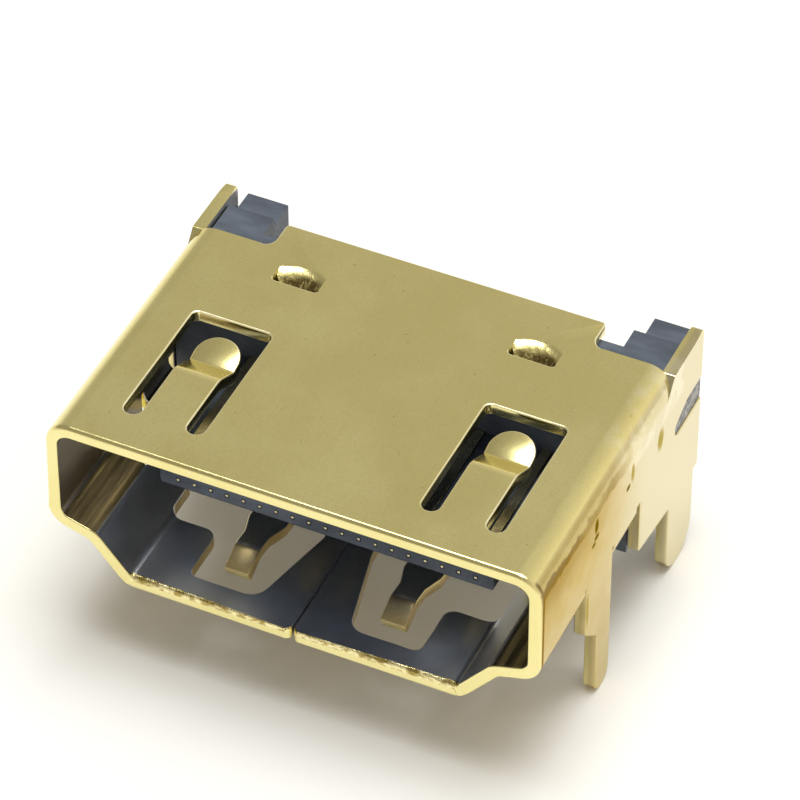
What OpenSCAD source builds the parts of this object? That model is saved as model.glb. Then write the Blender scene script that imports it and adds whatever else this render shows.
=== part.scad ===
// Board-mounted digital video socket: a folded, gold-plated sheet shell with spring
// fingers and four solder legs, a moulded insulator with a tongue, and flat contacts
// in two staggered rows that end in solder feet.
// Millimetres. The origin is the middle of the four legs on the board's surface,
// +Z is up and the mouth faces -Y.

/* [Mouth] */
// Inside width of the mouth, wall to wall
mouth_w = 14; // [13.6:0.1:15]
// Inside height of the mouth, floor to roof
mouth_h = 4.55; // [4.4:0.05:5]
// Inside width of the flat floor
floor_w = 9.9; // [9.4:0.1:10.2]
// Inside width between the two ledges
ledge_w = 11.9; // [11.5:0.1:12.3]
// Height of the straight side wall, roof to ledge
wall_h = 3; // [2.8:0.05:3.2]
// How far each ledge falls towards the middle
ledge_fall = 0.32; // [0.2:0.02:0.44]

/* [Sheet] */
// Thickness of the shell's sheet
sheet_t = 0.38; // [0.3:0.01:0.42]
// Inside radius of the two roof bends
roof_bend = 0.42; // [0.3:0.02:0.6]
// Inside radius of the bends below the walls
floor_bend = 0.3; // [0.2:0.02:0.36]
// Gap of the seam under the mouth
seam_gap = 0.06; // [0.04:0.02:0.2]
// Radius of the seam's corners at the mouth
seam_round = 0.18; // [0.1:0.02:0.3]

/* [Shell depth] */
// Mouth to the rear edge of the roof
roof_d = 10.05; // [9.9:0.05:10.6]
// Mouth to the rear edge of the side walls
side_d = 11.15; // [11:0.05:11.4]
// Mouth to the end of the closed tube under the ledges
tube_d = 6.6; // [6.2:0.05:6.7]
// Gap between the tube's end and the deep rear panels
panel_gap = 0.3; // [0.2:0.05:0.5]
// Mouth to the front edge of the roof's corner notches
notch_front = 9.02; // [8.96:0.01:9.1]
// Width of the roof between the corner notches
notch_w = 9.8; // [9.2:0.1:10.2]
// Radius in the inner corners of the notches
notch_round = 0.34; // [0.2:0.02:0.4]
// How far the side walls stay below the roof's top behind the notches
side_top_drop = 0.18; // [0.1:0.02:0.3]

/* [Roof springs] */
// Middle of the socket to the middle of each roof spring
roof_spring_x = 4.44; // [4.2:0.02:4.6]
// Width of each roof spring
roof_spring_w = 1.38; // [1.2:0.02:1.5]
// Width of the slots beside the springs
spring_slot = 0.53; // [0.4:0.01:0.56]
// Mouth to the front end of the slots
roof_cut_front = 1.26; // [1.1:0.02:1.6]
// Mouth to the rear edge of the cut-outs
roof_cut_rear = 5.72; // [5.6:0.02:6]
// Mouth to the bend where a roof spring leaves the sheet
roof_spring_bend = 3.45; // [3.2:0.05:3.6]
// Mouth to the crease of a roof spring
roof_spring_crease = 4.3; // [4.2:0.02:4.45]
// Mouth to the tip of a roof spring
roof_spring_tip = 5.24; // [5.1:0.02:5.35]
// Depth of the crease below the sheet
roof_spring_dip = 0.44; // [0.3:0.02:0.5]
// Rise of the tip above the crease
roof_spring_kick = 0.25; // [0.1:0.01:0.3]

/* [Floor springs] */
// Middle of the socket to the middle of each floor spring
floor_spring_x = 2.38; // [2.3:0.02:2.5]
// Width of each floor spring
floor_spring_w = 1.15; // [1:0.01:1.3]
// Width of the tip of a floor spring
floor_tip_w = 0.76; // [0.6:0.02:0.9]
// Middle of the socket to the inner edge of a floor cut-out, at its front
floor_cut_in = 1.42; // [1.2:0.02:1.5]
// Inner edge of a floor cut-out, at its rear
floor_cut_in_rear = 0.76; // [0.6:0.02:1]
// Outer edge of a floor cut-out, at its front
floor_cut_out = 3.5; // [3.3:0.02:3.7]
// Mouth to the front edge of the floor cut-outs
floor_cut_front = 0.76; // [0.6:0.02:1]
// Mouth to the front edge of the cut-outs' wide rear part
floor_wide_front = 2.6; // [2.4:0.05:2.7]
// Width of the two cut-outs' wide rear parts, end to end
floor_wide_w = 10.06; // [9.6:0.02:10.2]
// Mouth to the tip of a floor spring
floor_spring_tip = 1.42; // [1.3:0.02:1.5]
// Mouth to the crest of a floor spring
floor_spring_crest = 2.15; // [2.05:0.01:2.3]
// Height of the crest above the floor
floor_spring_rise = 0.3; // [0.2:0.02:0.4]

/* [Legs] */
// Mouth to the front edge of the front legs' wide part
front_leg_front = 3.18; // [3:0.02:3.3]
// Mouth to the rear edge of the front legs
front_leg_rear = 4.92; // [4.8:0.02:5]
// Width of the front legs' pins
front_pin_w = 0.92; // [0.7:0.02:1.1]
// Mouth to the front edge of the rear legs
rear_leg_front = 9.07; // [8.9:0.01:9.3]
// Width of the rear legs
rear_leg_w = 1.8; // [1.4:0.02:1.9]
// Length of the legs below the board's surface
leg_drop = 2.72; // [1.8:0.02:3.4]
// Reach of the front legs' tapered shoulders above and below the board
shoulder_lift = 0.38; // [0.2:0.02:0.5]
// Height of the rear panels' front corners above the board
panel_lift = 0.28; // [0.1:0.02:0.4]
// Clear space beside a front leg, where its blank was folded out of the tube
leg_relief = 0.12; // [0.06:0.02:0.2]

/* [Lances] */
// Middle of the socket to the middle of each lance
lance_x = 3.6; // [3.4:0.05:3.8]
// Width of a lance's opening
lance_w = 1.4; // [1.2:0.05:1.5]
// Mouth to the front edge of a lance's opening
lance_front = 7.78; // [7.7:0.02:7.86]
// Mouth to the rear edge of a lance's opening
lance_rear = 8.64; // [8.6:0.01:8.7]
// How far the scooped tab at the rear edge reaches below the roof
lance_depth = 0.5; // [0.4:0.02:0.55]

/* [Side slots] */
// Roof to the upper edge of each slot in the rear walls
slot_drop = 1.56; // [1.4:0.02:1.8]
// Height of the slots
slot_h = 0.8; // [0.7:0.05:1]
// Height of the slots at their front ends
slot_tip_h = 0.42; // [0.3:0.02:0.6]
// Length of the slots' sloping front part
slot_ramp = 0.8; // [0.5:0.05:1]
// Front edge of the corner notches to the front end of the slots
slot_setback = 0.26; // [0.22:0.01:0.4]
// How far the insulator's ribs stay below the shell's outer face
rib_recess = 0.04; // [0.02:0.01:0.2]

/* [Insulator] */
// Clearance between the insulator and the shell
fit_gap = 0.03; // [0.01:0.01:0.06]
// Gap between the tube's end and the block
block_gap = 0.35; // [0.2:0.05:0.5]
// Mouth to the rear face of the block
block_rear = 9.75; // [9.5:0.05:9.9]
// Width of the space between the arms' thick front parts
arm_inside = 11.08; // [10.8:0.02:11.2]
// How much thinner the arms are behind their step
arm_thinning = 0.14; // [0.06:0.02:0.3]
// Mouth to the step in the arms
arm_step_d = 10.5; // [10.3:0.05:10.8]
// Mouth to the rear end of the arms
arm_rear = 11.7; // [11.5:0.05:12]
// Height of the step in the arms
arm_step_h = 0.5; // [0.3:0.05:0.8]
// Middle of the end contacts to the tongue's edges
tongue_edge = 0.55; // [0.45:0.05:0.65]
// Thickness of the tongue
tongue_t = 1.02; // [0.94:0.02:1.1]
// Mouth to the nose of the tongue
tongue_front = 2.2; // [2:0.05:2.4]
// Roof to the middle of the tongue
tongue_drop = 2.55; // [2.4:0.05:2.65]
// Height of the tongue's flat nose
nose_h = 0.5; // [0.4:0.02:0.6]
// Length of the tongue's tapered nose
nose_d = 0.36; // [0.3:0.02:0.4]

/* [Contacts] */
// Spacing of neighbouring contacts, taken across both rows
pitch = 0.5; // [0.46:0.01:0.52]
// Width of a contact
contact_w = 0.28; // [0.2:0.01:0.32]
// Width of a contact's tip in the tongue's nose
contact_tip_w = 0.1; // [0.08:0.01:0.16]
// Thickness of a contact
contact_t = 0.15; // [0.1:0.01:0.18]
// How far the contacts stand proud of the tongue
contact_proud = 0.04; // [0.02:0.01:0.06]
// Clearance round a contact in the insulator
contact_gap = 0.01; // [0.005:0.005:0.02]
// Mouth to the drop of the upper row
upper_drop = 10.95; // [10.6:0.05:11.1]
// Mouth to the drop of the lower row
lower_drop = 10.25; // [10.15:0.05:10.4]
// Mouth to the ends of the solder feet
foot_end = 12.6; // [12.2:0.1:13.2]

/* [Hidden] */
contact_count = 19;

bend_step = 9;
overlap = 0.3;
past = 1;

roof_z = sheet_t + mouth_h;
top_z = roof_z + sheet_t;
wall_x = mouth_w / 2;
ledge_z = roof_z - wall_h;
wall_foot = ledge_z + floor_bend;
strip_top = top_z - side_top_drop;
strip_round = 0.1;
strip_lead = 0.5;
panel_front = tube_d + panel_gap;
front_pin_front = front_leg_rear - front_pin_w;
rear_leg_rear = rear_leg_front + rear_leg_w;
seat_y = (front_pin_front + front_leg_rear + rear_leg_front + rear_leg_rear) / 4;

relief_front = front_leg_front - leg_relief;
relief_rear = front_leg_rear + leg_relief;
pin_relief = front_pin_front - leg_relief;
blank_x = ledge_w / 2;
shoulder_round = 0.12;
leg_fillet = 0.15;
pin_round = 0.45 * front_pin_w;
rear_tip_front_round = 0.42 * rear_leg_w;
rear_tip_rear_round = 0.52 * rear_leg_w;

tab_round = 0.12;
roof_cut_round = 0.2;
roof_slot_round = 0.49 * spring_slot;
roof_tip_round = 0.485 * roof_spring_w;
spring_root_bend = 0.3;
roof_crease_bend = 0.1;

floor_cut_bend = 3.6;
floor_cut_round_in = 0.5;
floor_cut_round_out = 0.25;
relief_round = 0.36;
wide_round = 0.4;
floor_crest_bend = 0.12;
floor_tip_dip = 0.05;
floor_root_run = 0.2;
tip_shoulder = 0.6;
tip_flare = 0.65;
contact_flare = 0.1;

rib_high = roof_z - slot_drop;
rib_low = rib_high - slot_h;
rib_front = notch_front + slot_setback;
slot_round = 0.45;
slot_ramp_round = 0.4;

lance_round_front = 0.08 * lance_w;
lance_round_rear = 0.2 * lance_w;
lance_weld = 0.05;
lance_tab_w = lance_w + 2 * lance_weld;
lance_slope = 55;
lance_bend = 0.18;
lance_corner = lance_rear - (lance_bend + sheet_t) * tan(lance_slope / 2);
lance_lip = lance_corner - lance_depth / tan(lance_slope);
lance_tip_round = 0.2 * lance_tab_w;
lance_room = 0.12;
pocket_w = lance_w + 2 * lance_room;
pocket_front = lance_front - lance_room;
pocket_rear = lance_rear + lance_room;
pocket_low = top_z - lance_depth - sheet_t - lance_room;

block_front = tube_d + block_gap;
tongue_w = (contact_count - 1) * pitch + 2 * tongue_edge;
tongue_mid = roof_z - tongue_drop;
tongue_top = tongue_mid + tongue_t / 2;
tongue_bottom = tongue_mid - tongue_t / 2;
tongue_round = 0.34;
nose_sink = 0.07;
nose_mid = tongue_mid - nose_sink;
tip_run = 0.36;
tip_ramp = 0.4;
contact_bend = 0.12;

gold = "#c9b458";
slate = "#3b3f47";
pale_gold = "#e2cf86";

// Names follow the usual numbering: odd contacts in the upper row, even in the lower
function contact_name(i) = str("contact_", i < 10 ? "0" : "", i);
function is_upper(i) = i % 2 == 1;

// Folded strips: points along one face, an inside radius for each bend, and the
// sheet's thickness to the right of the line
function heading(p, i) = atan2(p[i + 1].y - p[i].y, p[i + 1].x - p[i].x);
function turn(p, i) = let (a = heading(p, i) - heading(p, i - 1)) a - 360 * round(a / 360);
function arc(mid, r, from, sweep) =
    let (n = max(1, ceil(abs(sweep) / bend_step)))
    [for (k = [0:n]) mid + r * [cos(from + sweep * k / n), sin(from + sweep * k / n)]];
function strip_bend(p, r, t, i, side) =
    let (
        a = heading(p, i - 1),
        sweep = turn(p, i),
        s = sign(sweep),
        line_r = s > 0 ? r : r + t,
        start = p[i] - line_r * tan(abs(sweep) / 2) * [cos(a), sin(a)],
        mid = start + s * line_r * [-sin(a), cos(a)]
    )
    arc(mid, line_r + side * s * t, a - 90 * s, sweep);
function strip_face(p, r, t, side) =
    let (
        last = len(p) - 1,
        first_a = heading(p, 0),
        last_a = heading(p, last - 1)
    )
    concat(
        [p[0] + side * t * [sin(first_a), -cos(first_a)]],
        [for (i = [1:last - 1]) each strip_bend(p, r[i], t, i, side)],
        [p[last] + side * t * [sin(last_a), -cos(last_a)]]
    );
function reversed(list) = [for (i = [len(list) - 1:-1:0]) list[i]];

module folded_strip(p, r, t) {
    polygon(concat(strip_face(p, r, t, 0), reversed(strip_face(p, r, t, 1))));
}

// Closed outline with a radius at each corner; corners are [x, y, radius]
function corner_arc(before, at, after) =
    let (
        p = [[before.x, before.y], [at.x, at.y], [after.x, after.y]],
        a = heading(p, 0),
        sweep = turn(p, 1),
        s = sign(sweep),
        start = p[1] - at.z * tan(abs(sweep) / 2) * [cos(a), sin(a)]
    )
    at.z == 0 ? [p[1]] : arc(start + s * at.z * [-sin(a), cos(a)], at.z, a - 90 * s, sweep);
function rounded(c) =
    let (n = len(c))
    [for (i = [0:n - 1]) each corner_arc(c[(i + n - 1) % n], c[i], c[(i + 1) % n])];

module outline(corners) {
    polygon(rounded(corners));
}

// A plan seen from above, between two heights
module standing(low, high) {
    translate([0, 0, low])
        linear_extrude(high - low)
            children();
}

// A section seen from the mouth, between two depths
module along_y(from, to) {
    translate([0, to, 0])
        rotate([90, 0, 0])
            linear_extrude(to - from)
                children();
}

// A side view, with depth across and height up, between two places across the socket
module across_x(from, to) {
    translate([from, 0, 0])
        rotate([90, 0, 90])
            linear_extrude(to - from)
                children();
}

module both_sides() {
    children();
    mirror([1, 0, 0])
        children();
}

module in_part_frame() {
    translate([0, -seat_y, 0])
        children();
}

// Sections of the shell
function right_half() = [
    [seam_gap / 2, sheet_t],
    [floor_w / 2, sheet_t],
    [ledge_w / 2, ledge_z - ledge_fall],
    [wall_x, ledge_z],
    [wall_x, roof_z]
];
function mirrored(p) = [for (q = reversed(p)) [-q.x, q.y]];
tube_bends = [0, floor_bend, floor_bend, floor_bend, roof_bend];

module tube_section() {
    half = right_half();
    folded_strip(concat(half, mirrored(half)), concat(tube_bends, reversed(tube_bends)), sheet_t);
}

module hood_section() {
    side = [[wall_x, wall_foot], [wall_x, roof_z]];
    folded_strip(concat(side, mirrored(side)), [0, roof_bend, roof_bend, 0], sheet_t);
}

// A side slot seen from the side, or with a gap the rib that fills it
module slot_shape(gap, rear) {
    front = rib_front + gap;
    low = rib_low + gap;
    high = rib_high - gap;
    tip_h = slot_tip_h - 2 * gap;
    outline([
        [front, low, slot_round * tip_h],
        [rear, low, 0],
        [rear, high, 0],
        [front + slot_ramp, high, slot_ramp_round],
        [front, low + tip_h, slot_round * tip_h]
    ]);
}

// The rear panel with its leg, and the tab above the slot, seen from the side
module side_panel() {
    difference() {
        outline([
            [panel_front, panel_lift, 0],
            [rear_leg_front, 0, leg_fillet],
            [rear_leg_front, -leg_drop, rear_tip_front_round],
            [rear_leg_rear, -leg_drop, rear_tip_rear_round],
            [rear_leg_rear, 0, 0],
            [side_d, 0, 0],
            [side_d, strip_top, strip_round],
            [notch_front, strip_top, strip_round],
            [notch_front - strip_lead, roof_z - roof_bend, 0],
            [panel_front, roof_z - roof_bend, 0]
        ]);
        slot_shape(0, side_d + past);
    }
}

module front_leg() {
    outline([
        [front_leg_front, shoulder_lift, shoulder_round],
        [front_pin_front, -shoulder_lift, leg_fillet],
        [front_pin_front, -leg_drop, pin_round],
        [front_leg_rear, -leg_drop, pin_round],
        [front_leg_rear, wall_foot + overlap, 0],
        [front_leg_front, wall_foot + overlap, 0]
    ]);
}

// Plans of the cut-outs
module roof_cut() {
    spring = roof_spring_w / 2;
    edge = spring + spring_slot;
    translate([roof_spring_x, 0])
        outline([
            [-edge, roof_cut_front, roof_slot_round],
            [-spring, roof_cut_front, roof_slot_round],
            [-spring, roof_spring_bend - overlap, 0],
            [spring, roof_spring_bend - overlap, 0],
            [spring, roof_cut_front, roof_slot_round],
            [edge, roof_cut_front, roof_slot_round],
            [edge, roof_cut_rear, roof_cut_round],
            [-edge, roof_cut_rear, roof_cut_round]
        ]);
}

module floor_cut() {
    outline([
        [floor_cut_in, floor_cut_front, floor_cut_round_in],
        [floor_cut_out, floor_cut_front, floor_cut_round_out],
        [floor_cut_out, floor_wide_front, relief_round],
        [floor_wide_w / 2, floor_wide_front, wide_round],
        [floor_wide_w / 2, pin_relief, 0],
        [blank_x, pin_relief, 0],
        [blank_x, relief_front, 0],
        [wall_x + past, relief_front, 0],
        [wall_x + past, relief_rear, 0],
        [floor_cut_in_rear, relief_rear, relief_round],
        [floor_cut_in_rear, floor_cut_bend, 0]
    ]);
}

// The rounded corners where the seam meets the mouth
module seam_cut() {
    edge = seam_gap / 2 + seam_round;
    polygon(concat(
        [[0, -past], [edge, -past]],
        arc([edge, seam_round], seam_round, 270, -90),
        [[0, seam_round]]
    ));
}

// The roof's rear tab between the notches
module roof_tab() {
    half = notch_w / 2;
    root = half + 2 * notch_round;
    outline([
        [-root, notch_front - overlap, 0],
        [root, notch_front - overlap, 0],
        [root, notch_front, 0],
        [half, notch_front, notch_round],
        [half, roof_d, tab_round],
        [-half, roof_d, tab_round],
        [-half, notch_front, notch_round],
        [-root, notch_front, 0]
    ]);
}

module lance_cut() {
    half = lance_w / 2;
    translate([lance_x, 0])
        outline([
            [-half, lance_front, lance_round_front],
            [half, lance_front, lance_round_front],
            [half, lance_rear, lance_round_rear],
            [-half, lance_rear, lance_round_rear]
        ]);
}

// Bent fingers: a side view of the bend, trimmed to the finger's plan
module roof_spring() {
    half = roof_spring_w / 2;
    start = roof_spring_bend - overlap;
    crease = top_z - roof_spring_dip;
    intersection() {
        across_x(roof_spring_x - half, roof_spring_x + half)
            folded_strip(
                [
                    [start, top_z],
                    [roof_spring_bend, top_z],
                    [roof_spring_crease, crease],
                    [roof_spring_tip, crease + roof_spring_kick]
                ],
                [0, spring_root_bend, roof_crease_bend, 0],
                sheet_t
            );
        standing(roof_z - past, top_z + past)
            translate([roof_spring_x, 0])
                outline([
                    [-half, start, 0],
                    [half, start, 0],
                    [half, roof_spring_tip, roof_tip_round],
                    [-half, roof_spring_tip, roof_tip_round]
                ]);
    }
}

module floor_spring() {
    half = floor_spring_w / 2;
    tip = floor_tip_w / 2;
    shoulder = floor_spring_crest + tip_shoulder;
    root = relief_rear + overlap;
    intersection() {
        across_x(floor_spring_x - half, floor_spring_x + half)
            folded_strip(
                [
                    [floor_spring_tip, sheet_t - floor_tip_dip],
                    [floor_spring_crest, sheet_t + floor_spring_rise],
                    [relief_rear - floor_root_run, sheet_t],
                    [root, sheet_t]
                ],
                [0, floor_crest_bend, spring_root_bend, 0],
                sheet_t
            );
        standing(-past, sheet_t + past)
            translate([floor_spring_x, 0])
                outline([
                    [-tip, floor_spring_tip - overlap, 0],
                    [tip, floor_spring_tip - overlap, 0],
                    [tip, shoulder, 0],
                    [half, shoulder + tip_flare, 0],
                    [half, root, 0],
                    [-half, root, 0],
                    [-half, shoulder + tip_flare, 0],
                    [-tip, shoulder, 0]
                ]);
    }
}

module lance_tab() {
    half = lance_tab_w / 2;
    root = lance_rear + overlap;
    intersection() {
        across_x(lance_x - half, lance_x + half)
            folded_strip(
                [[lance_lip, top_z - lance_depth], [lance_corner, top_z], [root, top_z]],
                [0, lance_bend, 0],
                sheet_t
            );
        standing(roof_z - past, top_z + past)
            translate([lance_x, 0])
                outline([
                    [-half, lance_lip, lance_tip_round],
                    [half, lance_lip, lance_tip_round],
                    [half, root, 0],
                    [-half, root, 0]
                ]);
    }
}

module shell() {
    color(gold)
        in_part_frame()
            union() {
                difference() {
                    union() {
                        along_y(0, tube_d)
                            tube_section();
                        along_y(tube_d, notch_front)
                            hood_section();
                        standing(roof_z, top_z)
                            roof_tab();
                    }
                    both_sides() {
                        standing(roof_z - overlap, top_z + past)
                            roof_cut();
                        standing(roof_z - overlap, top_z + past)
                            lance_cut();
                        standing(-past, wall_foot)
                            floor_cut();
                        standing(-past, sheet_t + past)
                            seam_cut();
                    }
                }
                both_sides() {
                    across_x(wall_x, wall_x + sheet_t)
                        side_panel();
                    across_x(wall_x, wall_x + sheet_t)
                        front_leg();
                    roof_spring();
                    floor_spring();
                    lance_tab();
                }
            }
}

// One contact: a side view of its bends, trimmed to its plan with a narrow tip.
// grow widens it for its channel in the insulator, which grips it above and below
module contact_body(i, grow) {
    face = is_upper(i) ? tongue_top + contact_proud : tongue_bottom - contact_proud + contact_t;
    drop = is_upper(i) ? upper_drop : lower_drop;
    level = nose_mid + contact_t / 2;
    x = (i - (contact_count + 1) / 2) * pitch;
    half = contact_w / 2 + grow;
    tip = contact_tip_w / 2 + grow;
    front = tongue_front - grow;
    shoulder = tongue_front + tip_run;
    intersection() {
        across_x(x - half, x + half)
            folded_strip(
                [
                    [front, level],
                    [shoulder, level],
                    [shoulder + tip_ramp, face],
                    [drop, face],
                    [drop, contact_t],
                    [foot_end, contact_t]
                ],
                [0, contact_bend, contact_bend, contact_bend, contact_bend, 0],
                contact_t
            );
        standing(-past, top_z)
            translate([x, 0])
                polygon([
                    [-tip, front - overlap],
                    [tip, front - overlap],
                    [tip, shoulder - contact_flare],
                    [half + overlap, shoulder + overlap],
                    [half + overlap, foot_end + past],
                    [-half - overlap, foot_end + past],
                    [-half - overlap, shoulder + overlap],
                    [-tip, shoulder - contact_flare]
                ]);
    }
}

module contact(i) {
    color(pale_gold)
        in_part_frame()
            contact_body(i, 0);
}

// The block, its arms and its tongue
module block() {
    side = wall_x - fit_gap;
    inside = arm_inside / 2;
    high = roof_z;
    full_front = notch_front + fit_gap;
    along_y(block_front, full_front)
        outline([
            [-side, 0, 0],
            [side, 0, 0],
            [side, high, roof_bend + fit_gap],
            [-side, high, roof_bend + fit_gap]
        ]);
    translate([-side, full_front, 0])
        cube([2 * side, block_rear - full_front, high]);
    both_sides() {
        translate([inside, block_rear - overlap, 0])
            cube([side - inside, arm_step_d - block_rear + overlap, high]);
        translate([inside + arm_thinning, arm_step_d - overlap, 0])
            cube([side - inside - arm_thinning, arm_rear - arm_step_d + overlap, high - arm_step_h]);
        across_x(side - overlap, wall_x + sheet_t - rib_recess)
            slot_shape(fit_gap, side_d);
    }
}

module tongue() {
    intersection() {
        along_y(tongue_front, block_front + overlap)
            outline([
                [-tongue_w / 2, tongue_bottom, tongue_round],
                [tongue_w / 2, tongue_bottom, tongue_round],
                [tongue_w / 2, tongue_top, tongue_round],
                [-tongue_w / 2, tongue_top, tongue_round]
            ]);
        across_x(-tongue_w, tongue_w)
            polygon([
                [tongue_front, nose_mid - nose_h / 2],
                [tongue_front + nose_d, tongue_bottom],
                [block_front + past, tongue_bottom],
                [block_front + past, tongue_top],
                [tongue_front + nose_d, tongue_top],
                [tongue_front, nose_mid + nose_h / 2]
            ]);
    }
}

module insulator() {
    color(slate)
        in_part_frame()
            difference() {
                union() {
                    block();
                    tongue();
                }
                both_sides()
                    translate([lance_x - pocket_w / 2, pocket_front, pocket_low])
                        cube([pocket_w, pocket_rear - pocket_front, top_z - pocket_low]);
                for (i = [1:contact_count])
                    contact_body(i, contact_gap);
            }
}

shell();
insulator();
for (i = [1:contact_count])
    contact(i);
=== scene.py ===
import math

import bmesh
import bpy
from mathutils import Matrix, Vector


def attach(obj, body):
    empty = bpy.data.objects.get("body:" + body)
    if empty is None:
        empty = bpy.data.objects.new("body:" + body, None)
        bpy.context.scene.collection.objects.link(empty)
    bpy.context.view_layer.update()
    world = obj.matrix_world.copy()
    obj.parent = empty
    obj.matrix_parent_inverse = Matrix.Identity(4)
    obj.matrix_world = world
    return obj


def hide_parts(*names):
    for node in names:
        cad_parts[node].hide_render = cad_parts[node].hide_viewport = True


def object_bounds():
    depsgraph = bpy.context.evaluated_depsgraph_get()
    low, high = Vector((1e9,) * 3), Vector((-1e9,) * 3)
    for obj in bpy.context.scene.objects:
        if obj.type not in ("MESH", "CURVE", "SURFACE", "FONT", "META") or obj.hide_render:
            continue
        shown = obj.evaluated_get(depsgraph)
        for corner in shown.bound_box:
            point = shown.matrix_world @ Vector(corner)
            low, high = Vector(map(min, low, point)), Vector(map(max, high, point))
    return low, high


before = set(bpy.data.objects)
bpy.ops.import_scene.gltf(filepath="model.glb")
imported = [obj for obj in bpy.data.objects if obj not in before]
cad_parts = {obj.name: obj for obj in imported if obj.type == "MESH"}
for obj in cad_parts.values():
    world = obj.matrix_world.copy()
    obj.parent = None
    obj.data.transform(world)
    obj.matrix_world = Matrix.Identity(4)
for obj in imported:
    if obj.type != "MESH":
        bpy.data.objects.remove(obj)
cad_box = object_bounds()

# Lengths and places below are in mm; MM turns them into the frame's metres
MM = 0.001
FRONT_Y = cad_box[0][1] / MM
WALL_X = cad_box[1][0] / MM
TOP_Z = cad_box[1][2] / MM
SHEET = 0.38
INNER_X = WALL_X - SHEET
INNER_TOP = TOP_Z - SHEET
# Past the part on any side, for bands that have no end on it
FAR = 9.0

# Lances in the roof: the middle of each, at both sides
LANCE_X = 3.6


# Node trees

class Nodes:
    """A node tree with short calls for the nodes used here."""

    def __init__(self, tree):
        self.tree = tree

    def add(self, kind, **settings):
        node = self.tree.nodes.new(kind)
        for key, value in settings.items():
            setattr(node, key, value)
        return node

    def link(self, source, target):
        self.tree.links.new(source, target)

    def feed(self, socket, value):
        """Link a socket to another one, or set it to a constant."""
        if isinstance(value, bpy.types.NodeSocket):
            self.link(value, socket)
        else:
            socket.default_value = value

    def ranged(self, value, low, high, to_low, to_high, smooth=True):
        """A value taken from low and high to to_low and to_high, and held there beyond them."""
        node = self.add("ShaderNodeMapRange", interpolation_type="SMOOTHSTEP" if smooth else "LINEAR")
        self.link(value, node.inputs["Value"])
        for socket, number in zip(node.inputs[1:5], (low, high, to_low, to_high)):
            socket.default_value = number
        return node.outputs["Result"]

    def maths(self, operation, a, b):
        node = self.add("ShaderNodeMath", operation=operation)
        self.feed(node.inputs[0], a)
        self.feed(node.inputs[1], b)
        return node.outputs["Value"]

    def product(self, *values):
        total = values[0]
        for value in values[1:]:
            total = self.maths("MULTIPLY", total, value)
        return total

    def largest(self, *values):
        most = values[0]
        for value in values[1:]:
            most = self.maths("MAXIMUM", most, value)
        return most


class Surface(Nodes):
    """A material's node tree, with its shader and the object's own coordinates."""

    def __init__(self, name):
        self.material = bpy.data.materials.new(name)
        self.material.use_nodes = True
        super().__init__(self.material.node_tree)
        self.shader = self.tree.nodes["Principled BSDF"]
        self.place = self.add("ShaderNodeTexCoord").outputs["Object"]
        split = self.add("ShaderNodeSeparateXYZ")
        self.link(self.place, split.inputs[0])
        self.axes = split.outputs

    def mapped(self, scale, shift=(0, 0, 0)):
        node = self.add("ShaderNodeMapping")
        self.link(self.place, node.inputs["Vector"])
        node.inputs["Scale"].default_value = scale
        node.inputs["Location"].default_value = shift
        return node.outputs["Vector"]

    def noise(self, per_mm, detail, rough, stretch=None):
        node = self.add("ShaderNodeTexNoise")
        self.link(self.mapped(stretch) if stretch else self.place, node.inputs["Vector"])
        node.inputs["Scale"].default_value = per_mm / MM
        node.inputs["Detail"].default_value = detail
        node.inputs["Roughness"].default_value = rough
        return node.outputs["Fac"]

    def spots(self, per_mm, size, soft):
        """1 inside small scattered round spots; size and soft are shares of their spacing."""
        node = self.add("ShaderNodeTexVoronoi", feature="F1")
        self.link(self.place, node.inputs["Vector"])
        node.inputs["Scale"].default_value = per_mm / MM
        return self.ranged(node.outputs["Distance"], size, size + soft, 1.0, 0.0)

    def rising(self, value, span, low=0.0, high=1.0):
        """A mask that goes from low to high over a span of places in mm."""
        return self.ranged(value, span[0] * MM, span[1] * MM, low, high)

    def falling(self, value, span):
        return self.rising(value, span, 1.0, 0.0)

    def between(self, value, span, soft):
        """1 where a value lies in a span of places in mm, fading over soft outside it."""
        low, high = span
        return self.product(self.rising(value, (low - soft, low)), self.falling(value, (high, high + soft)))

    def oval(self, middle, half, soft=0.35):
        """1 inside an oval given by its middle and half sizes in mm; 0 as a size means any.

        soft is the outer share of it that fades.
        """
        scale = [1 / (h * MM) if h else 0.0 for h in half]
        shift = [-m / h if h else 0.0 for m, h in zip(middle, half)]
        length = self.add("ShaderNodeVectorMath", operation="LENGTH")
        self.link(self.mapped(scale, shift), length.inputs[0])
        return self.ranged(length.outputs["Value"], 1.0 - soft, 1.0, 1.0, 0.0)

    def mixed(self, factor, a, b):
        node = self.add("ShaderNodeMix", data_type="RGBA", blend_type="MIX")
        self.feed(node.inputs["Factor"], factor)
        self.feed(node.inputs["A"], a)
        self.feed(node.inputs["B"], b)
        return node.outputs["Result"]

    def bump(self, height, depth, strength, after=None, sunk=False):
        node = self.add("ShaderNodeBump", invert=sunk)
        self.link(height, node.inputs["Height"])
        node.inputs["Distance"].default_value = depth * MM
        node.inputs["Strength"].default_value = strength
        if after:
            self.link(after, node.inputs["Normal"])
        return node.outputs["Normal"]

    def shaded(self, tone, rough, normal, metallic):
        self.link(tone, self.shader.inputs["Base Color"])
        self.link(rough, self.shader.inputs["Roughness"])
        self.link(normal, self.shader.inputs["Normal"])
        self.shader.inputs["Metallic"].default_value = metallic
        return self.material


# Materials. Noise values mostly lie in MOST or WIDE

MOST = (0.35, 0.68)
WIDE = (0.3, 0.7)
WHITE = (1, 1, 1, 1)

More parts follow.
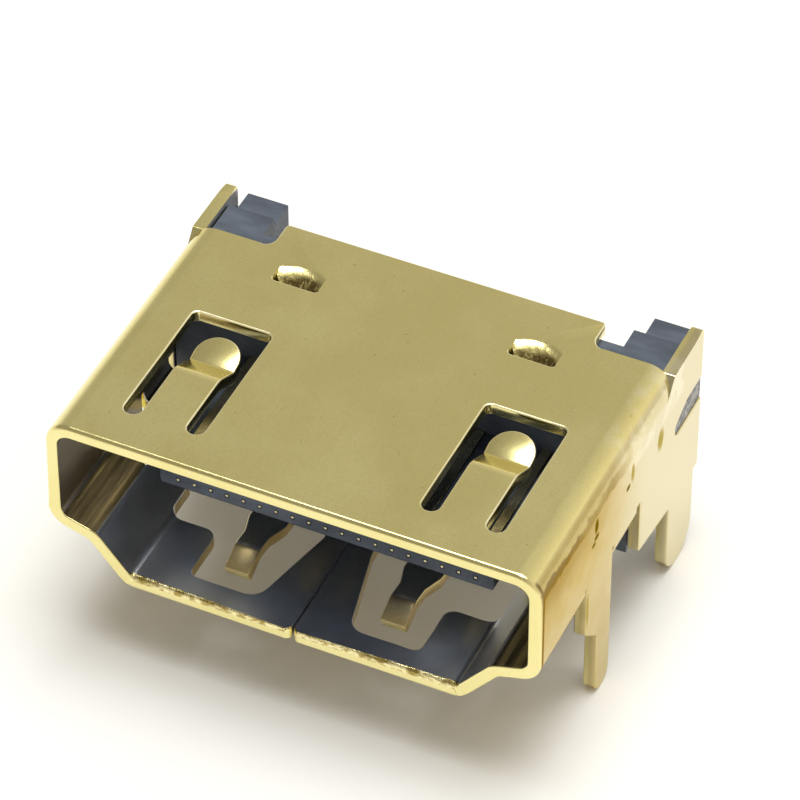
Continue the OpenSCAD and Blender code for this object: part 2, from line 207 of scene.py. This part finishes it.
# Marks, painted shade and painted reflections on the right wall, as spans along an axis
MARKED_X = (WALL_X - 0.18, FAR)
MARKED_SOFT = 0.12
RIM_FADE_Y = (FRONT_Y + 0.035, FRONT_Y + 0.135)
EDGE_LINE_Y = (FRONT_Y + 0.135, FRONT_Y + 0.195)
EDGE_LINE_SOFT = 0.05
BROWN_FADE_Y = (-3.8, 0.4)
BROWN_RISE_Z = (2.0, 3.4)
SHADE_FADE_Y = (-6.2, -1.2)
SHADE_RISE_Z = (3.2, 4.5)
SHADE_END_Z = (4.74, 4.86)
STREAK_FADE_Y = (-2.3, -1.0)
STREAK_PALER_Y = (-4.9, -4.1)
STREAK_Z = (4.57, 4.76)
STREAK_SOFT = 0.08
STREAK_WAVER = 0.08

# Painted pale reflections in patches on the roof's bend above it
BEND_X = (6.75, FAR)
BEND_Z = (4.1, FAR)
BEND_SOFT = 0.2
PATCH_RISE_Y = (-2.2, -1.0)
PATCH_Y = (-FAR, 2.4)
PATCH_SOFT = 0.3

# Hollows in the right wall: middle along y and z, then half sizes
DENTS = ((0.93, 3.5, 0.28, 0.52), (-1.05, 3.97, 0.16, 0.44), (-3.98, 1.3, 0.08, 0.8))
PITS = ((-1.34, 3.65, 0.18, 0.13), (-3.54, 4.15, 0.17, 0.36), (-3.52, 3.74, 0.22, 0.13),
        (-3.7, 3.58, 0.17, 0.11))
HOLLOW_SOFT = 0.6

# Lances: middles and half sizes of their bowls, of the torn metal with painted shade on it, and of their
# dark front edges, which are painted shade
BOWLS = (((3.65, 0.95, 4.9), (1.1, 0.6, 0.5)), ((-3.55, 0.95, 4.9), (1.1, 0.6, 0.5)))
TORN = (((3.97, 0.83, 4.86), (0.9, 0.5, 0.45)), ((-3.25, 0.88, 4.86), (0.95, 0.56, 0.5)))
TORN_EDGES = tuple(((x, 0.92, 4.9), (0.85, 0.15, 0.6)) for x in (-LANCE_X, LANCE_X))
TORN_EDGE_SOFT = 0.5
# Roughness that the bowls add
BOWL_ROUGH = 0.42

# The moulding's ribs stand out past here
RIB_X = 7.1
RIB_SOFT = 0.08


def wall_painted_shade(s, wall, blotch):
    """Painted shade in a strip and a painted dark reflection streak in it, under the roof's bend, and a
    painted shade line along the front edge.
    """
    y, z = s.axes["Y"], s.axes["Z"]
    wave = s.noise(per_mm=1.4, detail=3, rough=0.6)
    waver = s.maths("ADD", z, s.ranged(wave, *WIDE, -STREAK_WAVER * MM, STREAK_WAVER * MM))
    shade = s.product(wall, s.falling(y, SHADE_FADE_Y), s.rising(waver, SHADE_RISE_Z),
                      s.falling(waver, SHADE_END_Z))
    painted_dark_streak = s.product(wall, s.falling(y, STREAK_FADE_Y), s.between(waver, STREAK_Z, STREAK_SOFT),
                       s.rising(y, STREAK_PALER_Y, 0.95, 0.5), s.ranged(blotch, 0.35, 0.6, 0.7, 1.0))
    edge_shade_line = s.product(wall, s.between(y, EDGE_LINE_Y, EDGE_LINE_SOFT))
    return shade, s.largest(painted_dark_streak, edge_shade_line)


def wall_hollows(s, wall, places):
    ovals = [s.oval((0, y, z), (0, half_y, half_z), HOLLOW_SOFT) for y, z, half_y, half_z in places]
    return s.product(s.largest(*ovals), wall)


# Torn metal in the lances' lower edges, darkened further as painted shade under the front edge
def torn_metal_and_shade(s):
    ovals = [s.oval(*place) for place in TORN] + [s.oval(*place, TORN_EDGE_SOFT) for place in TORN_EDGES]
    ragged = s.noise(per_mm=6, detail=3, rough=0.6, stretch=(1.6, 0.6, 0.6))
    return s.product(s.largest(*ovals), s.ranged(ragged, 0.36, 0.5, 0.2, 0.9))


def shell_marks_and_painted_light(s, tone):
    """The shell's own marks and painted light, as the photo shows them on the right wall and in the lances.

    Gives the tone, its tint at grazing angles, the hollows and the lances' bowls. The wall's tone is
    darker than the roof's, painted shade, and browner in front, a painted darker reflection, with a
    painted shaded strip, a painted dark reflection streak and a painted shade line by the front edge,
    pits and dents, and the bend above it has painted pale reflections in patches behind. The lances
    are rough and torn, with painted shade in their lower edges.
    """
    x, y, z = s.axes["X"], s.axes["Y"], s.axes["Z"]
    blotch = s.noise(per_mm=1.6, detail=5, rough=0.62)
    wall = s.product(s.between(x, MARKED_X, MARKED_SOFT), s.rising(y, RIM_FADE_Y))
    brown = s.product(wall, s.falling(y, BROWN_FADE_Y), s.ranged(blotch, *WIDE, 0.75, 1.0),
                      s.rising(z, BROWN_RISE_Z, 0.7, 1.0))
    painted_pale_patch = s.product(s.between(x, BEND_X, BEND_SOFT), s.between(z, BEND_Z, BEND_SOFT),
                      s.rising(y, PATCH_RISE_Y), s.between(y, PATCH_Y, PATCH_SOFT),
                      s.ranged(blotch, 0.42, 0.6, 0.0, 0.4))
    shade, painted_dark_streak = wall_painted_shade(s, wall, blotch)
    bowls = s.largest(*[s.oval(*place) for place in BOWLS])
    torn_and_shade = torn_metal_and_shade(s)
    pits = wall_hollows(s, wall, PITS)
    dents = wall_hollows(s, wall, DENTS)
    # Each mark with its tone, and its tint at grazing angles where it has one; the wall's tone, the brown,
    # the patch, the shade, the streak and part of the torn metal are painted light
    stains = (
        # The right wall's tone, darker than the roof's, is painted shade
        (wall, (0.71, 0.63, 0.375, 1), None),
        # Browner in front: a painted darker reflection
        (brown, (0.54, 0.43, 0.17, 1), (0.9, 0.78, 0.56, 1)),
        # Pale patches on the bend: painted reflections
        (painted_pale_patch, (0.98, 0.92, 0.7, 1), None),
        # Painted shade in a strip under the roof's bend
        (shade, (0.41, 0.32, 0.146, 1), (0.8, 0.65, 0.4, 1)),
        # Painted dark reflection streak, and painted shade along the front edge
        (painted_dark_streak, (0.27, 0.2, 0.09, 1), (0.65, 0.48, 0.28, 1)),
        (bowls, (0.46, 0.4, 0.17, 1), None),
        # Torn metal, with painted shade in it
        (torn_and_shade, (0.1, 0.065, 0.02, 1), None),
        (pits, (0.22, 0.165, 0.07, 1), (0.5, 0.4, 0.2, 1)),
        (dents, (0.42, 0.35, 0.13, 1), (0.8, 0.7, 0.4, 1)),
    )
    tint = WHITE
    for mask, mark_tone, mark_tint in stains:
        tone = s.mixed(mask, tone, mark_tone)
        if mark_tint:
            tint = s.mixed(mask, tint, mark_tint)
    return tone, tint, s.largest(dents, torn_and_shade), bowls


def gold_plate(name, pale, deep, smooth, dull, marks=None):
    """Gold flash over a rolled sheet: cloudy tone, fine grain, specks and a faint roll direction.

    smooth and dull are the ends of its roughness, and marks adds a piece's own wear, with painted shade and
    reflections.
    """
    s = Surface(name)
    cloud = s.noise(per_mm=0.3, detail=4, rough=0.55)
    grain = s.noise(per_mm=14, detail=2, rough=0.6)
    rolled = s.noise(per_mm=2.2, detail=4, rough=0.6, stretch=(5.0, 0.5, 1.0))
    dark_specks = s.spots(per_mm=1.5, size=0.03, soft=0.03)
    pale_specks = s.spots(per_mm=1.9, size=0.035, soft=0.03)
    grainy = (*[c * 0.72 for c in deep[:3]], 1)
    tone = s.mixed(s.ranged(cloud, *MOST, 0.0, 1.0), deep, pale)
    tone = s.mixed(s.ranged(grain, 0.42, 0.72, 0.0, 0.2), tone, grainy)
    tone = s.mixed(s.product(dark_specks, 0.45), tone, (0.3, 0.24, 0.1, 1))
    tone = s.mixed(s.product(pale_specks, 0.35), tone, (1.0, 0.97, 0.75, 1))
    hollows = s.product(dark_specks, 0.3)
    patchy = s.maths("ADD", s.product(cloud, 0.6), s.product(rolled, 0.4))
    rough = s.ranged(patchy, *MOST, smooth, dull)
    if marks:
        tone, tint, marked, beaten = marks(s, tone)
        s.link(tint, s.shader.inputs["Specular Tint"])
        hollows = s.largest(hollows, marked)
        rough = s.maths("ADD", rough, s.product(beaten, BOWL_ROUGH))
    normal = s.bump(rolled, depth=0.0012, strength=0.25)
    normal = s.bump(grain, depth=0.0005, strength=0.5, after=normal)
    normal = s.bump(hollows, depth=0.012, strength=0.6, after=normal, sunk=True)
    if marks:
        hammered = s.product(beaten, s.noise(per_mm=8, detail=2, rough=0.6))
        normal = s.bump(hammered, depth=0.03, strength=1.0, after=normal)
    return s.shaded(tone, rough, normal, metallic=1.0)


def inner_plate(name, pale, deep, smooth, dull, wear, drawn=None):
    """Plating inside the mouth, with scuffs along the plug's way.

    smooth and dull are the ends of its roughness, wear is how much the scuffs show, and drawn
    stretches its clouds into streaks.
    """
    s = Surface(name)
    cloud = s.noise(per_mm=0.8, detail=4, rough=0.6, stretch=drawn)
    scuffs = s.noise(per_mm=5.0, detail=3, rough=0.6, stretch=(4.0, 0.35, 4.0))
    scuffed = (*[min(1.0, c * 1.5) for c in pale[:3]], 1)
    tone = s.mixed(s.ranged(cloud, *MOST, 0.0, 1.0), deep, pale)
    tone = s.mixed(s.ranged(scuffs, 0.6, 0.72, 0.0, wear), tone, scuffed)
    rough = s.ranged(cloud, *WIDE, smooth, dull)
    normal = s.bump(scuffs, depth=0.0002, strength=0.15)
    return s.shaded(tone, rough, normal, metallic=1.0)


def burred_plate(name):
    """The lip's drawn inner edge: broken, glittering metal."""
    s = Surface(name)
    coarse = s.noise(per_mm=3.2, detail=4, rough=0.65, stretch=(1.0, 1.6, 1.6))
    fine = s.noise(per_mm=11, detail=3, rough=0.6)
    tone = s.mixed(s.ranged(coarse, 0.4, 0.6, 0.0, 1.0), (0.42, 0.32, 0.1, 1), (1.0, 0.9, 0.5, 1))
    rough = s.ranged(fine, *WIDE, 0.16, 0.34)
    normal = s.bump(coarse, depth=0.05, strength=0.8)
    normal = s.bump(fine, depth=0.008, strength=0.6, after=normal)
    return s.shaded(tone, rough, normal, metallic=1.0)


def moulding(name):
    """Slate glass-filled plastic with a matt grain, faint flow marks, and pale cut fibres on the ribs."""
    s = Surface(name)
    grain = s.noise(per_mm=16, detail=3, rough=0.6)
    flow = s.noise(per_mm=1.1, detail=4, rough=0.6, stretch=(0.5, 1.6, 1.0))
    fibres = s.noise(per_mm=9, detail=2, rough=0.5, stretch=(1.0, 6.0, 1.0))
    speckle = s.noise(per_mm=7, detail=3, rough=0.6)
    x = s.axes["X"]
    ribs = s.largest(s.between(x, (RIB_X, FAR), RIB_SOFT), s.between(x, (-FAR, -RIB_X), RIB_SOFT))
    tone = s.mixed(s.ranged(flow, 0.35, 0.7, 0.0, 1.0), (0.05, 0.063, 0.088, 1), (0.09, 0.112, 0.152, 1))
    tone = s.mixed(s.ranged(fibres, 0.66, 0.78, 0.0, 0.5), tone, (0.13, 0.14, 0.16, 1))
    tone = s.mixed(s.product(ribs, s.ranged(speckle, 0.36, 0.64, 0.15, 0.95)), tone, (0.42, 0.4, 0.37, 1))
    rough = s.ranged(grain, *WIDE, 0.42, 0.62)
    normal = s.bump(grain, depth=0.004, strength=0.6)
    normal = s.bump(flow, depth=0.02, strength=0.25, after=normal)
    return s.shaded(tone, rough, normal, metallic=0.0)


# Inside the mouth roughness stays over 0.28, because smoother plating rendered with dark smudges
INNER_SMOOTH = 0.285

shell_gold = gold_plate("shell_gold", pale=(0.91, 0.82, 0.4, 1), deep=(0.86, 0.765, 0.345, 1),
                        smooth=0.16, dull=0.21, marks=shell_marks_and_painted_light)
lip_gold = burred_plate("lip_gold")
# The roof's inside is dark blue instead of gold: painted shade and painted dark reflection
roof_inside = inner_plate("roof_inside", pale=(0.26, 0.3, 0.46, 1), deep=(0.16, 0.19, 0.31, 1),
                          smooth=INNER_SMOOTH, dull=0.4, wear=0.2)
# Grey-blue instead of gold: a painted reflection tint
floor_inside = inner_plate("floor_inside", pale=(0.75, 0.79, 0.88, 1), deep=(0.69, 0.73, 0.82, 1),
                           smooth=INNER_SMOOTH, dull=0.32, wear=0.02)
# Pale plating on broken edges and the springs' front ends: painted highlight
glint_gold = gold_plate("glint_gold", pale=(1.0, 0.95, 0.66, 1), deep=(0.97, 0.9, 0.55, 1),
                       smooth=INNER_SMOOTH, dull=0.36)
brown_plate = inner_plate("brown_plate", pale=(0.72, 0.57, 0.28, 1), deep=(0.52, 0.41, 0.19, 1),
                          smooth=INNER_SMOOTH, dull=0.36, wear=0.4)
# Pale grey instead of gold: a painted reflection tint
wall_inside = inner_plate("wall_inside", pale=(0.78, 0.73, 0.67, 1), deep=(0.66, 0.61, 0.55, 1),
                          smooth=INNER_SMOOTH, dull=0.33, wear=0.06, drawn=(1.0, 0.3, 1.5))
ledge_plate = inner_plate("ledge_plate", pale=(0.75, 0.6, 0.3, 1), deep=(0.2, 0.16, 0.1, 1),
                          smooth=INNER_SMOOTH, dull=0.34, wear=0.5, drawn=(5.0, 0.2, 1.0))
contact_gold = gold_plate("contact_gold", pale=(0.9, 0.82, 0.55, 1), deep=(0.84, 0.75, 0.45, 1),
                          smooth=0.2, dull=0.3)
slate_plastic = moulding("slate_plastic")

# The shell's materials and their places in its list
SHELL_MATERIALS = (shell_gold, lip_gold, roof_inside, floor_inside, glint_gold, brown_plate, wall_inside,
                   ledge_plate)
OUTSIDE, LIP, DARK, FLOOR, GLINT, CUT, WALL, LEDGE = range(len(SHELL_MATERIALS))


# Pieces: each node of the frame with its edges broken

JOIN_DISTANCE = 0.0005
FLAT_ANGLE = math.radians(0.8)
SHARP_ANGLE = math.radians(32)
CREASE_ANGLE = math.radians(40)
BROAD_AREA = 20
NORMAL_WEIGHT = 80


def opened(node):
    """A node's mesh in mm, with its doubled points joined and its flat stretches made one face."""
    bm = bmesh.new()
    bm.from_mesh(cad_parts[node].data)
    bmesh.ops.scale(bm, vec=(1 / MM,) * 3, verts=bm.verts)
    bmesh.ops.remove_doubles(bm, verts=bm.verts, dist=JOIN_DISTANCE)
    bmesh.ops.dissolve_limit(bm, angle_limit=FLAT_ANGLE, verts=bm.verts, edges=bm.edges)
    for face in bm.faces:
        face.material_index = 0
    return bm


def sharp_edges(bm):
    return [e for e in bm.edges if len(e.link_faces) == 2 and e.calc_face_angle(0.0) > SHARP_ANGLE]


def broken(bm, edges, offset, steps, material=-1):
    """Round edges, with a material of their own where one is given."""
    bmesh.ops.bevel(bm, geom=edges, offset=offset, segments=steps, profile=0.5, affect="EDGES",
                    clamp_overlap=False, miter_outer="SHARP", miter_inner="SHARP", material=material)


def held_back(bm, front):
    """Bring points that a rounded corner pushed past the front back to it."""
    for vert in bm.verts:
        vert.co.y = max(vert.co.y, front)
    bm.normal_update()


def closed(node, bm, materials, keep=None):
    """Put a mesh in the scene as the look of its node; keep tells which broad faces end sharply."""
    for face in bm.faces:
        face.smooth = True
    for edge in bm.edges:
        edge.smooth = edge.calc_face_angle(0.0) < CREASE_ANGLE
        broad = max(f.calc_area() for f in edge.link_faces) > BROAD_AREA
        if keep and broad and all(keep(v.co) for v in edge.verts):
            edge.smooth = False
    bmesh.ops.scale(bm, vec=(MM,) * 3, verts=bm.verts)
    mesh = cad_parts[node].data.copy()
    mesh.materials.clear()
    bm.to_mesh(mesh)
    bm.free()
    for material in materials:
        mesh.materials.append(material)
    piece = bpy.data.objects.new(node + "_look", mesh)
    bpy.context.scene.collection.objects.link(piece)
    even = piece.modifiers.new("even_normals", "WEIGHTED_NORMAL")
    even.keep_sharp = True
    even.weight = NORMAL_WEIGHT
    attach(piece, "root")
    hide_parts(node)


# The shell: where its faces lie, and how its edges are broken

MOUTH_MIDDLE_Z = 3.0
INWARD_MIDDLE_Z = 2.6
INWARD_LEAST = 0.2
EDGE_ROUND = 0.045
EDGE_STEPS = 3
RIM_STEPS = 4
OUTER_RIM_ROUND = 0.15
OUTER_RIM_Z = 2.2
LIP_ROUND = 0.16
LIP_TOP_Z = 0.42
FACE_DEPTH = 0.04
RIM_DEPTH = 0.1
LIP_DEPTH = 0.17
MOUTH_DEPTH = 0.2
GLINT_Z = 4.0
UNDERSIDE_Z = 1.9
IN_SHEET_X = INNER_X + 0.05
IN_SHEET_Z = INNER_TOP + 0.04
ROOF_Z = INNER_TOP - 0.03
LIP_Z = (0.2, 0.45)
SIDE_X = 5.0
SEAM_X = 0.2
CUT_X = 5.2
CUT_Z = 1.3
SPRING_X = 3.2
SPRING_Y = -4.9
SLOPE_X = 5.98
SLOPE_Z = 1.66
CORNER_X = 5.9
ON_FRONT = 0.001

# How far faces are turned, as the part of their unit normals along an axis
UNDER_DOWN = -0.5
ROOF_DOWN = -0.9
LIP_UP = 0.1
SLOPE_UP = 0.3
LEDGE_UP = 0.6
CUT_UPRIGHT = 0.35
SPRING_UP = 0.3
SPRING_FRONT = -0.15
SPRING_END = -0.62

# Edges left sharp
SCOOP_X = (2.7, 4.5)
SCOOP_Y = (0.5, 1.7)
SCOOP_TIP_Y = 0.75
SCOOP_TOP_Z = TOP_Z - 0.01
STRIP_X = 6.5
STRIP_Y = (1.0, 1.95)
STRIP_Z = 4.3
LIP_UNDER_DEPTH = 0.115
LIP_UNDER_Z = 0.1


def rim_edges(bm, wanted):
    """Sharp edges of the mouth's rim, picked by their middle and whether they lie outside."""
    picked = []
    for edge in sharp_edges(bm):
        if any(v.co.y > FRONT_Y + ON_FRONT for v in edge.verts):
            continue
        middle = (edge.verts[0].co + edge.verts[1].co) / 2
        lateral = max(edge.link_faces, key=lambda f: f.normal.y).normal
        outside = lateral.x * middle.x + lateral.z * (middle.z - MOUTH_MIDDLE_Z) > 0
        if wanted(middle, outside):
            picked.append(edge)
    return picked


def outer_rim(middle, outside):
    return outside and middle.z > OUTER_RIM_Z


def lip_rim(middle, outside):
    return not outside and middle.z < LIP_TOP_Z


def shell_face(middle, normal):
    """Place in the shell's materials for a face, by its middle and its unit normal."""
    across = abs(middle.x)
    depth = middle.y - FRONT_Y
    inward = -normal.x * middle.x + normal.z * (INWARD_MIDDLE_Z - middle.z)
    if normal.z < UNDER_DOWN and middle.z < UNDERSIDE_Z and depth > RIM_DEPTH:
        return CUT
    if across > IN_SHEET_X or middle.z > IN_SHEET_Z:
        return OUTSIDE
    if depth < LIP_DEPTH and LIP_Z[0] < middle.z < LIP_Z[1] and normal.z > LIP_UP:
        return LIP
    if depth < MOUTH_DEPTH:
        return WALL if across > SIDE_X and inward > INWARD_LEAST and depth > FACE_DEPTH else OUTSIDE
    if across < CUT_X and middle.z < CUT_Z and abs(normal.z) < CUT_UPRIGHT:
        # The seam's gap takes the dark roof plating: painted shade
        return DARK if across < SEAM_X else CUT
    on_spring = across < SPRING_X and middle.y < SPRING_Y
    if on_spring and normal.z > SPRING_UP and normal.y < SPRING_FRONT:
        # The springs' front ends take the pale plating, a painted highlight
        return GLINT if normal.y < SPRING_END else CUT
    if inward < INWARD_LEAST or middle.z < LIP_Z[0]:
        return OUTSIDE
    # The roof's inside takes the dark plating, painted shade
    if normal.z < ROOF_DOWN and middle.z > ROOF_Z:
        return DARK
    if middle.z < SLOPE_Z and normal.z > SLOPE_UP and across < SLOPE_X:
        return FLOOR
    if across > CORNER_X:
        return LEDGE if normal.z > LEDGE_UP else WALL
    return OUTSIDE


def shell_crease(place):
    """Places left sharp: the lances' scoops, the wall strips' front ends and the lip's underside."""
    across = abs(place.x)
    by_lance = SCOOP_X[0] < across < SCOOP_X[1] and SCOOP_Y[0] < place.y < SCOOP_Y[1]
    scoop = by_lance and (place.y > SCOOP_TIP_Y or place.z < SCOOP_TOP_Z)
    strip = across > STRIP_X and STRIP_Y[0] < place.y < STRIP_Y[1] and place.z > STRIP_Z
    lip = place.y < FRONT_Y + LIP_UNDER_DEPTH and place.z < LIP_UNDER_Z
    return scoop or strip or lip


# Bowls of the lances: half width of a tab, its rear edge and length, and how deep and round they sink
TAB_HALF = 0.75
TAB_REAR = 1.425
TAB_LENGTH = 0.64
TAB_REACH = 0.8
TAB_Y = (0.6, 1.5)
TAB_LOW_Z = 4.7
TAB_UP = 0.2
TAB_FRONT = -0.02
BOWL_DEPTH = 0.5
BOWL_CURVE = 1.7
BOWL_REAR_ROUND = 0.3
BOWL_CUT_STEP_X = 0.125
BOWL_CUTS_EACH_SIDE = 5
BOWL_CUT_SNAP = 0.002
BOWL_FIRST_CUT_Y = 0.86
BOWL_CUT_STEP_Y = 0.08
BOWL_CUTS_ALONG = 7


def tab_faces(bm, middle):
    """Upper faces of the lance's tab at a place along x."""
    def on_tab(place):
        return abs(place.x - middle) < TAB_REACH and TAB_Y[0] < place.y < TAB_Y[1] and place.z > TAB_LOW_Z
    return [f for f in bm.faces if f.normal.z > TAB_UP and f.normal.y < TAB_FRONT
            and all(on_tab(v.co) for v in f.verts)]


def scooped(bm):
    """Sink the lances' tabs into bowls with round backs, as pressed and torn metal has them."""
    for middle in (-LANCE_X, LANCE_X):
        sides = range(-BOWL_CUTS_EACH_SIDE, BOWL_CUTS_EACH_SIDE + 1)
        cuts = [((middle + BOWL_CUT_STEP_X * step, 0, 0), (1, 0, 0)) for step in sides]
        along = range(BOWL_CUTS_ALONG)
        cuts += [((0, BOWL_FIRST_CUT_Y + BOWL_CUT_STEP_Y * step, 0), (0, 1, 0)) for step in along]
        for place, way in cuts:
            faces = tab_faces(bm, middle)
            edges = {e for f in faces for e in f.edges}
            points = {v for f in faces for v in f.verts}
            bmesh.ops.bisect_plane(bm, geom=[*faces, *edges, *points], dist=BOWL_CUT_SNAP,
                                   plane_co=place, plane_no=way)
        for vert in {v for f in tab_faces(bm, middle) for v in f.verts}:
            across = (vert.co.x - middle) / TAB_HALF
            rear = TAB_REAR - BOWL_REAR_ROUND * across * across
            forward = max(0.0, (rear - vert.co.y) / TAB_LENGTH)
            vert.co.z = TOP_Z - BOWL_DEPTH * forward ** BOWL_CURVE
    bm.normal_update()


def dressed_shell():
    bm = opened("shell")
    scooped(bm)
    broken(bm, rim_edges(bm, outer_rim), OUTER_RIM_ROUND, RIM_STEPS)
    broken(bm, rim_edges(bm, lip_rim), LIP_ROUND, RIM_STEPS)
    loose = [e for e in sharp_edges(bm) if not any(shell_crease(v.co) for v in e.verts)]
    broken(bm, loose, EDGE_ROUND, EDGE_STEPS, GLINT)
    held_back(bm, FRONT_Y)
    for face in bm.faces:
        middle = face.calc_center_median()
        place = shell_face(middle, face.normal)
        # Broken edges on the outside, high up and behind the rim, keep the pale plating: a painted
        # highlight
        glinting = face.material_index == GLINT and middle.y >= FRONT_Y + RIM_DEPTH and middle.z >= GLINT_Z
        if place != OUTSIDE or not glinting:
            face.material_index = place
    closed("shell", bm, SHELL_MATERIALS, keep=shell_crease)


# The moulding and the contacts

MOULDING_ROUND = 0.025
CONTACT_ROUND = 0.012
SMALL_STEPS = 2
TIP_DEPTH = 0.005
TIP_WIDTH_SHARE = 0.8
TIP_HEIGHT_SHARE = 0.5


def thin_tip(bm, front):
    """Draw the front end of a contact in to the small dot that shows in the tongue."""
    tip = [v for v in bm.verts if v.co.y < front + TIP_DEPTH]
    middle = sum((v.co for v in tip), Vector()) / len(tip)
    for vert in tip:
        vert.co.x = middle.x + (vert.co.x - middle.x) * TIP_WIDTH_SHARE
        vert.co.z = middle.z + (vert.co.z - middle.z) * TIP_HEIGHT_SHARE
    bm.normal_update()


def dressed(node, edge_round, material, shape=None):
    """A node with its sharp edges rounded; shape may change its mesh before that."""
    bm = opened(node)
    front = min(v.co.y for v in bm.verts)
    if shape:
        shape(bm, front)
    broken(bm, sharp_edges(bm), edge_round, SMALL_STEPS)
    held_back(bm, front)
    closed(node, bm, (material,))


dressed_shell()
dressed("insulator", MOULDING_ROUND, slate_plastic)
for name in sorted(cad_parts):
    if name.startswith("contact_"):
        dressed(name, CONTACT_ROUND, contact_gold, shape=thin_tip)


# Stage: a pale floor, one soft lamp overhead and a pale room

FLOOR_REACH = 1500
FLOOR_COLOUR = (0.92, 0.92, 0.91, 1)
FLOOR_ROUGH = 0.6
KEY_PLACE = (14, 20, 355)
KEY_SIZE = 220
KEY_POWER = 1.1
SKY_COLOUR = (0.98, 0.925, 0.8, 1)
# The room grows brighter along this way, to the right and down, from the first light to the second
BRIGHT_WAY = (0.7, 0.35, -0.62)
BRIGHT_SPAN = (-0.75, 0.5)
BRIGHT_LIGHT = (0.34, 0.95)
# The skyline's light fades out between these heights, as shares of straight up
SKYLINE_SPAN = (0.08, 0.34)
SKYLINE_LIGHT = 0.95


def aimed(thing, place, aim):
    """Put a lamp or camera at a place in mm, looking at another, and in the scene."""
    thing.location = Vector(place) * MM
    thing.rotation_euler = (Vector(aim) * MM - thing.location).to_track_quat("-Z", "Y").to_euler()
    bpy.context.scene.collection.objects.link(thing)


pale_floor = bpy.data.materials.new("pale_floor")
pale_floor.use_nodes = True
floor_shader = pale_floor.node_tree.nodes["Principled BSDF"]
floor_shader.inputs["Base Color"].default_value = FLOOR_COLOUR
floor_shader.inputs["Roughness"].default_value = FLOOR_ROUGH
floor_z = cad_box[0][2]
reach = FLOOR_REACH * MM
floor_mesh = bpy.data.meshes.new("floor")
corners = [(x * reach, y * reach, floor_z) for x, y in ((-1, -1), (1, -1), (1, 1), (-1, 1))]
floor_mesh.from_pydata(corners, [], [(0, 1, 2, 3)])
floor_mesh.materials.append(pale_floor)
floor = bpy.data.objects.new("floor", floor_mesh)
bpy.context.scene.collection.objects.link(floor)

key_light = bpy.data.lights.new("key", "AREA")
key_light.shape = "RECTANGLE"
key_light.size = KEY_SIZE * MM
key_light.size_y = KEY_SIZE * MM
key_light.energy = KEY_POWER
key = bpy.data.objects.new("key", key_light)
aimed(key, KEY_PLACE, (0, 0, 0))

world = bpy.data.worlds.new("studio")
world.use_nodes = True
room = Nodes(world.node_tree)
way = room.add("ShaderNodeTexCoord").outputs["Generated"]
towards = room.add("ShaderNodeVectorMath", operation="DOT_PRODUCT")
room.link(way, towards.inputs[0])
towards.inputs[1].default_value = BRIGHT_WAY
side_light = room.ranged(towards.outputs["Value"], *BRIGHT_SPAN, *BRIGHT_LIGHT, smooth=False)
height = room.add("ShaderNodeSeparateXYZ")
room.link(way, height.inputs[0])
skyline = room.ranged(height.outputs["Z"], *SKYLINE_SPAN, SKYLINE_LIGHT, 0.0, smooth=False)
sky = world.node_tree.nodes["Background"]
sky.inputs["Color"].default_value = SKY_COLOUR
room.link(room.largest(side_light, skyline), sky.inputs["Strength"])
bpy.context.scene.world = world

# Camera, fitted to the photo

CAMERA_PLACE = (42.398, -91.283, 97.462)
CAMERA_AIM = (0.9498, -2.215, 5.1173)
CAMERA_LENS = 222.96
CAMERA_SENSOR = 36
CAMERA_NEAR = 1
CAMERA_FAR = 10000

camera_data = bpy.data.cameras.new("camera")
camera_data.sensor_width = CAMERA_SENSOR
camera_data.lens = CAMERA_LENS
camera_data.clip_start = CAMERA_NEAR * MM
camera_data.clip_end = CAMERA_FAR * MM
camera = bpy.data.objects.new("camera", camera_data)
aimed(camera, CAMERA_PLACE, CAMERA_AIM)
bpy.context.scene.camera = camera
bpy.context.scene.view_settings.view_transform = "Standard"
